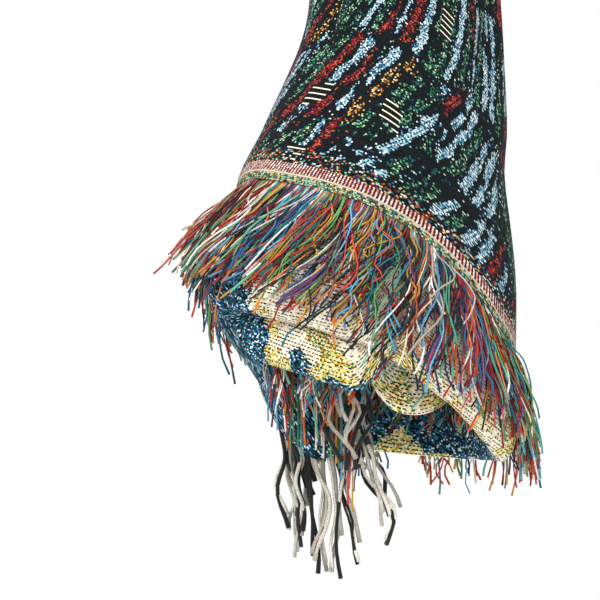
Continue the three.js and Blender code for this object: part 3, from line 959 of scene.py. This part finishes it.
rng = np.random.default_rng(11)
yarn_material = cotton_yarn()
paths = outer_fringe_paths(rng)
outer_fringe = yarn_mesh(
    "outer_hem_yarns",
    paths,
    tapered(rng, len(paths), HEM_POINTS, YARN_RADIUS),
    yarn_colours(rng, HEM_YARNS, len(paths), CLUMP),
)
outer_fringe.data.materials.append(yarn_material)
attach(outer_fringe, "root")
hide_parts("outer_hem_fringe")


# The inner hem's fringe: the same warp ends at the other end of the cloth. The hem is tucked up
# inside the roll, so they stand up from it a little and then fall.
INNER_FRINGE = table(
    "angle over in forward drop",
    (-115, 3, -1.5, 5, 44),
    (-95, 3, -1, 7, 46),
    (-78, 3, 3, 4, 46),
    (-60, 3, 5, 0, 46),
    (240, 3, 6.2, 0, 46),
    (677, 3, 6, 0, 46),
)
INNER_SPANS = table(
    "start end spacing",
    (-115, -40, 0.7),
    (-40, 245, 1.2),
    (245, 677, 2.4),
)
FREE_SET = 20


def edge_at(angles, row):
    """Points of one row of the cloth at given angles."""
    return np.stack(
        [np.interp(angles, column_angles, sheet_points[:, row, axis]) for axis in range(3)], axis=-1
    )


def inner_fringe_paths(rng):
    """Paths of the inner hem's yarns, over their own roots and down."""
    root_angle = spread(INNER_SPANS, rng)
    count = len(root_angle)
    root = edge_at(root_angle, -1)[:, None, :]
    way = root - edge_at(root_angle, -4)[:, None, :]
    way /= np.linalg.norm(way, axis=2, keepdims=True)
    angle = root_angle[:, None]
    f = np.linspace(0, 1, HEM_POINTS)[None, :]
    arch, inward, forward, drop = (
        read(INNER_FRINGE, "angle", name, angle) for name in ("over", "in", "forward", "drop")
    )
    length = rng.normal(0.95, 0.2, (count, 1)) * (1 - 0.55 * np.clip((angle + 55) / 60, 0, 1))
    moved = np.clip(2.6 * f, 0, 1)
    depth = -root[..., 2]
    turned = angle + degrees_for(waves(rng, count, CLUMP, f, 4.5), angle, depth)
    more = inward * moved + rng.uniform(-0.8, 0.8, (count, 1)) * moved
    fall = on_roll(turned, depth + drop * length * f**1.4, FREE_SET + more)
    fall = fall - on_roll(angle, depth, FREE_SET + 0 * angle)
    fall[..., 1] -= forward * moved
    rise = (arch * np.sin(np.pi * np.clip(3 * f, 0, 1)))[..., None]
    return root + way * (rise + 0.8) + fall


paths = inner_fringe_paths(rng)
inner_fringe = yarn_mesh(
    "inner_hem_yarns",
    paths,
    tapered(rng, len(paths), HEM_POINTS, YARN_RADIUS),
    yarn_colours(rng, HEM_YARNS, len(paths), CLUMP),
)
inner_fringe.data.materials.append(yarn_material)
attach(inner_fringe, "root")
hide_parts("inner_hem_fringe")


# The side fringes: thick weft ends, off-white and black, left long past the side edges. They lie
# along the roll down its length and hang free as a tail below the flap.
SIDE_FRINGE = table(
    "depth outer inner lean drop",
    (0, 20, 7, 0, 58),
    (415, 20, 9, 0, 58),
    (485, 0, 5, 34, 56),
    (525, 0, 3, 26, 60),
    (555, 1, 2, 4, 64),
)
SIDE_YARNS = {"#dcd6c9": 13, "#0e1214": 7, "#c6bfb0": 5, "#1b2022": 3}
SIDE_YARN_RADIUS = 1.15
SIDE_SPACING = 2.6
SIDE_POINTS = 14


def side_fringe_paths(rng, column, inward, sense, reach, spacing):
    """Paths of one side edge's yarns, past the edge along the roll and down."""
    edge = sheet_points[column]
    steps = np.linalg.norm(np.diff(edge, axis=0), axis=1)
    marks = np.concatenate([[0], np.cumsum(steps)])
    count = int(marks[-1] / spacing)
    at = np.linspace(0, marks[-1], count) + rng.uniform(-0.3, 0.3, count) * spacing
    at = np.clip(at, 0, marks[-1])
    root = np.stack([np.interp(at, marks, edge[:, axis]) for axis in range(3)], axis=-1)
    next_edge = sheet_points[inward]
    beside = np.stack([np.interp(at, marks, next_edge[:, axis]) for axis in range(3)], axis=-1)
    out = root - beside
    out /= np.linalg.norm(out, axis=1, keepdims=True)
    f = np.linspace(0, 1, SIDE_POINTS)[None, :]
    depth = np.maximum(-root[:, 2:], 4)
    side = read(SIDE_FRINGE, "depth", reach, depth)
    drop = read(SIDE_FRINGE, "depth", "drop", depth)
    lean = read(SIDE_FRINGE, "depth", "lean", depth) if sense < 0 else 0
    middle = read(BUNDLE, "depth", "middle", depth)
    radius = np.hypot(root[:, :1] - middle, root[:, 1:2] / FRONT_TO_BACK)
    angle = np.full((count, 1), column_angles[column])
    plain = read(BUNDLE, "depth", "radius", depth)
    set_in = plain - read(BUNDLE, "depth", "step", depth) * (angle - START_ANGLE) / 360 - radius
    length = rng.normal(1, 0.08, (count, 1))
    wander = waves(rng, count, 2, f, 2.6, (0.8, 1.5, 2.4))
    swing = np.degrees((sense * side * f + wander) / np.maximum(radius, 18))
    fall = drop * length * f * (0.6 + 0.4 * f)
    moved = on_roll(angle + swing, depth + fall, set_in + 0.4 * wander)
    moved = moved - on_roll(angle, depth, set_in)
    moved[..., 0] += lean * f + waves(rng, count, 2, f, 2.0, (0.7, 1.4, 2.2))
    return root[:, None, :] + out[:, None, :] * 1.2 + moved


def side_yarns(name, node_name, column, inward, sense, reach, spacing):
    """One side edge's yarns as a piece of the model."""
    paths = side_fringe_paths(rng, column, inward, sense, reach, spacing)
    piece = yarn_mesh(
        name,
        paths,
        tapered(rng, len(paths), SIDE_POINTS, SIDE_YARN_RADIUS),
        yarn_colours(rng, SIDE_YARNS, len(paths), 2),
        roundness=1,
    )
    piece.data.materials.append(yarn_material)
    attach(piece, "root")
    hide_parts(node_name)
    return piece


outer_side = side_yarns("outer_side_yarns", "outer_side_fringe", 0, 1, -1, "outer", SIDE_SPACING)
inner_side = side_yarns("inner_side_yarns", "inner_side_fringe", -1, -2, 1, "inner", 2 * SIDE_SPACING)


# The stage: a round pale floor under a white studio, soft lights, and the camera at the height of
# the throw's lower half, straight on to its front.
FLOOR_LEVEL = -0.74
FLOOR_RADIUS = 0.8


def pale_floor():
    """A round painted board that lies under the throw."""
    bm = bmesh.new()
    bmesh.ops.create_circle(bm, cap_ends=True, segments=128, radius=FLOOR_RADIUS)
    bmesh.ops.translate(bm, verts=bm.verts, vec=(0, 0, FLOOR_LEVEL))
    mesh = bpy.data.meshes.new("pale_floor")
    bm.to_mesh(mesh)
    bm.free()
    board = bpy.data.objects.new("pale_floor", mesh)
    bpy.context.scene.collection.objects.link(board)
    material, tree = new_material("matt_white_paint")
    place = node(tree, "TexCoord", {})["Object"]
    mottle = node(tree, "TexNoise", {"Vector": place, "Scale": 2.0, "Detail": 3.0})["Fac"]
    paint = blend(tree, mottle, linear("#f0f0ee"), linear("#f7f7f5"))
    shader = node(tree, "BsdfPrincipled", {"Base Color": paint, "Roughness": 0.9})["BSDF"]
    node(tree, "OutputMaterial", {"Surface": shader})
    mesh.materials.append(material)
    return board


pale_floor()

# Soft boxes by where they stand, their width and their power in watts
SOFT_BOXES = {
    "key_softbox": ((-1.3, -1.9, 1.0), 1.1, 78),
    "fill_softbox": ((1.7, -1.8, 0.2), 1.7, 26),
    "top_softbox": ((0.1, 0.3, 1.8), 1.6, 30),
}
AIM = np.array([-0.03, -0.02, -0.42])


def aim(thing, place, at):
    """Stand a light or camera at a place and turn it towards a point."""
    from_place = np.array(at) - np.array(place)
    turn = np.arctan2(from_place[0], from_place[1])
    rise = np.arctan2(from_place[2], np.hypot(from_place[0], from_place[1]))
    thing.location = place
    thing.rotation_euler = (np.pi / 2 + rise, 0, -turn)
    bpy.context.scene.collection.objects.link(thing)


for name, (place, width, power) in SOFT_BOXES.items():
    light = bpy.data.lights.new(name, "AREA")
    light.size = width
    light.energy = power
    aim(bpy.data.objects.new(name, light), place, AIM)

# A white studio all round, which lights the throw a little less than it shows
bpy.context.scene.view_settings.view_transform = "Standard"
STUDIO_LIGHT = 0.6
sky = bpy.data.worlds.new("studio")
sky.use_nodes = True
studio = sky.node_tree
studio.nodes.clear()
seen = node(studio, "LightPath", {})["Is Camera Ray"]
strength = blend(studio, seen, STUDIO_LIGHT, 1.0, "FLOAT")
glow = node(studio, "Background", {"Color": (1, 1, 1, 1), "Strength": strength})["Background"]
node(studio, "OutputWorld", {"Surface": glow})
bpy.context.scene.world = sky

CAMERA_DISTANCE = 1.5
VIEW_WIDTH = 0.33
VIEW_CENTRE = (-0.055, -0.06, -0.473)
camera_lens = bpy.data.cameras.new("camera")
camera_lens.sensor_width = 36
camera_lens.lens = camera_lens.sensor_width * CAMERA_DISTANCE / VIEW_WIDTH
camera = bpy.data.objects.new("camera", camera_lens)
stand = (VIEW_CENTRE[0], VIEW_CENTRE[1] - CAMERA_DISTANCE, VIEW_CENTRE[2])
aim(camera, stand, VIEW_CENTRE)
bpy.context.scene.camera = camera
